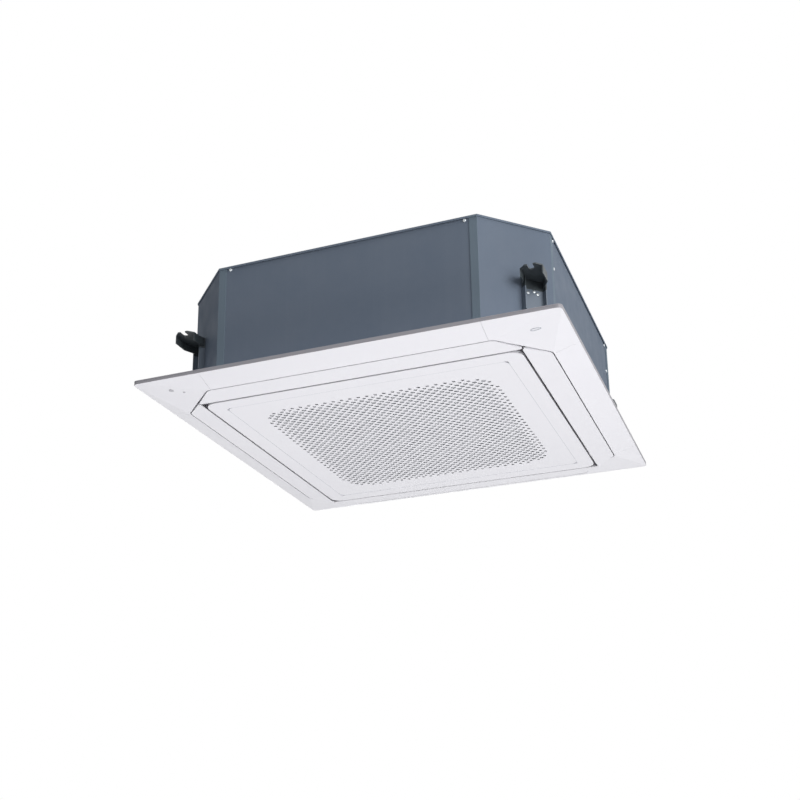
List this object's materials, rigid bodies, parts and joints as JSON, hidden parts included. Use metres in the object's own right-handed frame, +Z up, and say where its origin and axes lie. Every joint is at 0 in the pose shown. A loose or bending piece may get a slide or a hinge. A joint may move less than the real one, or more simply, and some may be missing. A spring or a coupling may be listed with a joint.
{
  "type": "ceiling cassette air conditioner",
  "caption": "Square ceiling cassette air conditioner: sheet steel body with cut corners and hanging brackets, over a wide white panel with louvre vanes round a hinged perforated intake grille.",
  "frame": {"origin": "centre of the unit in the plane of the false ceiling, level with the top of the panel rim", "axes": "+Z up into the ceiling void, -Y towards the side of the latches, +X to the right when facing along +Y; the panel hangs below the origin and the body stands above it"},
  "size_m": [0.95, 0.95, 0.2975],
  "materials": {
    "panel_plastic": "cool white moulded plastic, fine satin grain",
    "casing_steel": "zinc-coated sheet steel with a dull grey lustre",
    "bracket_steel": "dark coated folded steel",
    "grey_plastic": "light grey moulded plastic",
    "dark_plastic": "charcoal moulded plastic",
    "foam": "white moulded insulation foam",
    "seal_rubber": "black foam rubber",
    "fin_stock": "bright thin fins",
    "copper": "bright copper tube",
    "bare_steel": "plain zinc-plated steel",
    "brass": "plain brass",
    "circuit_board": "green board",
    "filter_cloth": "fine grey net",
    "lens": "dark glossy plastic"
  },
  "bodies": {
    "cassette": {"panel_frame": "panel_plastic", "panel_seal": "seal_rubber", "corner_cover_front_right": "panel_plastic", "corner_cover_back_right": "panel_plastic", "corner_cover_back_left": "panel_plastic", "corner_cover_front_left": "panel_plastic", "receiver_window": "lens", "status_lamp": "lens", "vane_motor_front": "grey_plastic", "vane_motor_right": "grey_plastic", "vane_motor_back": "grey_plastic", "vane_motor_left": "grey_plastic", "casing_side_front": "casing_steel", "casing_side_right": "casing_steel", "casing_side_back": "casing_steel", "casing_side_left": "casing_steel", "casing_corner_front_right": "casing_steel", "casing_corner_back_right": "casing_steel", "casing_corner_back_left": "casing_steel", "casing_corner_front_left": "casing_steel", "top_plate": "casing_steel", "insulation_liner": "foam", "cable_grommet": "seal_rubber", "hanger_bracket_front_right": "bracket_steel", "hanger_bracket_back_right": "bracket_steel", "hanger_bracket_back_left": "bracket_steel", "hanger_bracket_front_left": "bracket_steel", "drain_pan": "foam", "coil_fins": "fin_stock", "tube_sheet_back": "copper", "tube_sheet_left": "copper", "gas_pipe": "copper", "liquid_pipe": "copper", "pipe_plate": "bare_steel", "drain_pump": "dark_plastic", "drain_outlet": "grey_plastic", "bell_mouth": "grey_plastic", "fan_motor": "bare_steel", "electrical_box": "bare_steel", "electrical_box_lid": "bare_steel", "control_board": "circuit_board"},
    "front_vane": {"vane_front": "panel_plastic"},
    "right_vane": {"vane_right": "panel_plastic"},
    "back_vane": {"vane_back": "panel_plastic"},
    "left_vane": {"vane_left": "panel_plastic"},
    "grille": {"grille_frame": "panel_plastic", "grille_plate": "panel_plastic", "filter_frame": "dark_plastic", "filter_sheet": "filter_cloth"},
    "left_latch": {"grille_latch_left": "grey_plastic"},
    "right_latch": {"grille_latch_right": "grey_plastic"},
    "fan": {"turbo_fan": "grey_plastic", "fan_shaft": "bare_steel", "hub_nut": "brass"},
    "impeller": {"pump_impeller": "grey_plastic"},
    "float": {"float_switch": "panel_plastic"}
  },
  "joints": [
    {"name": "front_vane_swing", "type": "hinge", "parent": "cassette", "child": "front_vane", "pos_m": [0, -0.392, -0.017], "axis": [1, 0, 0], "range_deg": [0, 55]},
    {"name": "right_vane_swing", "type": "hinge", "parent": "cassette", "child": "right_vane", "pos_m": [0.392, 0, -0.017], "axis": [0, 1, 0], "range_deg": [0, 55]},
    {"name": "back_vane_swing", "type": "hinge", "parent": "cassette", "child": "back_vane", "pos_m": [0, 0.392, -0.017], "axis": [-1, 0, 0], "range_deg": [0, 55]},
    {"name": "left_vane_swing", "type": "hinge", "parent": "cassette", "child": "left_vane", "pos_m": [-0.392, 0, -0.017], "axis": [0, -1, 0], "range_deg": [0, 55]},
    {"name": "grille_hinge", "type": "hinge", "parent": "cassette", "child": "grille", "pos_m": [0, 0.35, -0.022], "axis": [1, 0, 0], "range_deg": [0, 80]},
    {"name": "left_latch_slide", "type": "slide", "parent": "grille", "child": "left_latch", "axis": [0, 1, 0], "range_m": [0, 0.008], "stiffness_N_per_m": 200, "springref_m": -0.004},
    {"name": "right_latch_slide", "type": "slide", "parent": "grille", "child": "right_latch", "axis": [0, 1, 0], "range_m": [0, 0.008], "stiffness_N_per_m": 200, "springref_m": -0.004},
    {"name": "fan_spin", "type": "hinge", "parent": "cassette", "child": "fan", "pos_m": [0, 0, 0.2], "axis": [0, 0, 1], "continuous": true},
    {"name": "impeller_spin", "type": "hinge", "parent": "cassette", "child": "impeller", "pos_m": [-0.308, 0.276, 0.04], "axis": [0, 0, 1], "continuous": true},
    {"name": "float_rise", "type": "slide", "parent": "cassette", "child": "float", "axis": [0, 0, 1], "range_m": [0, 0.012]}
  ]
}
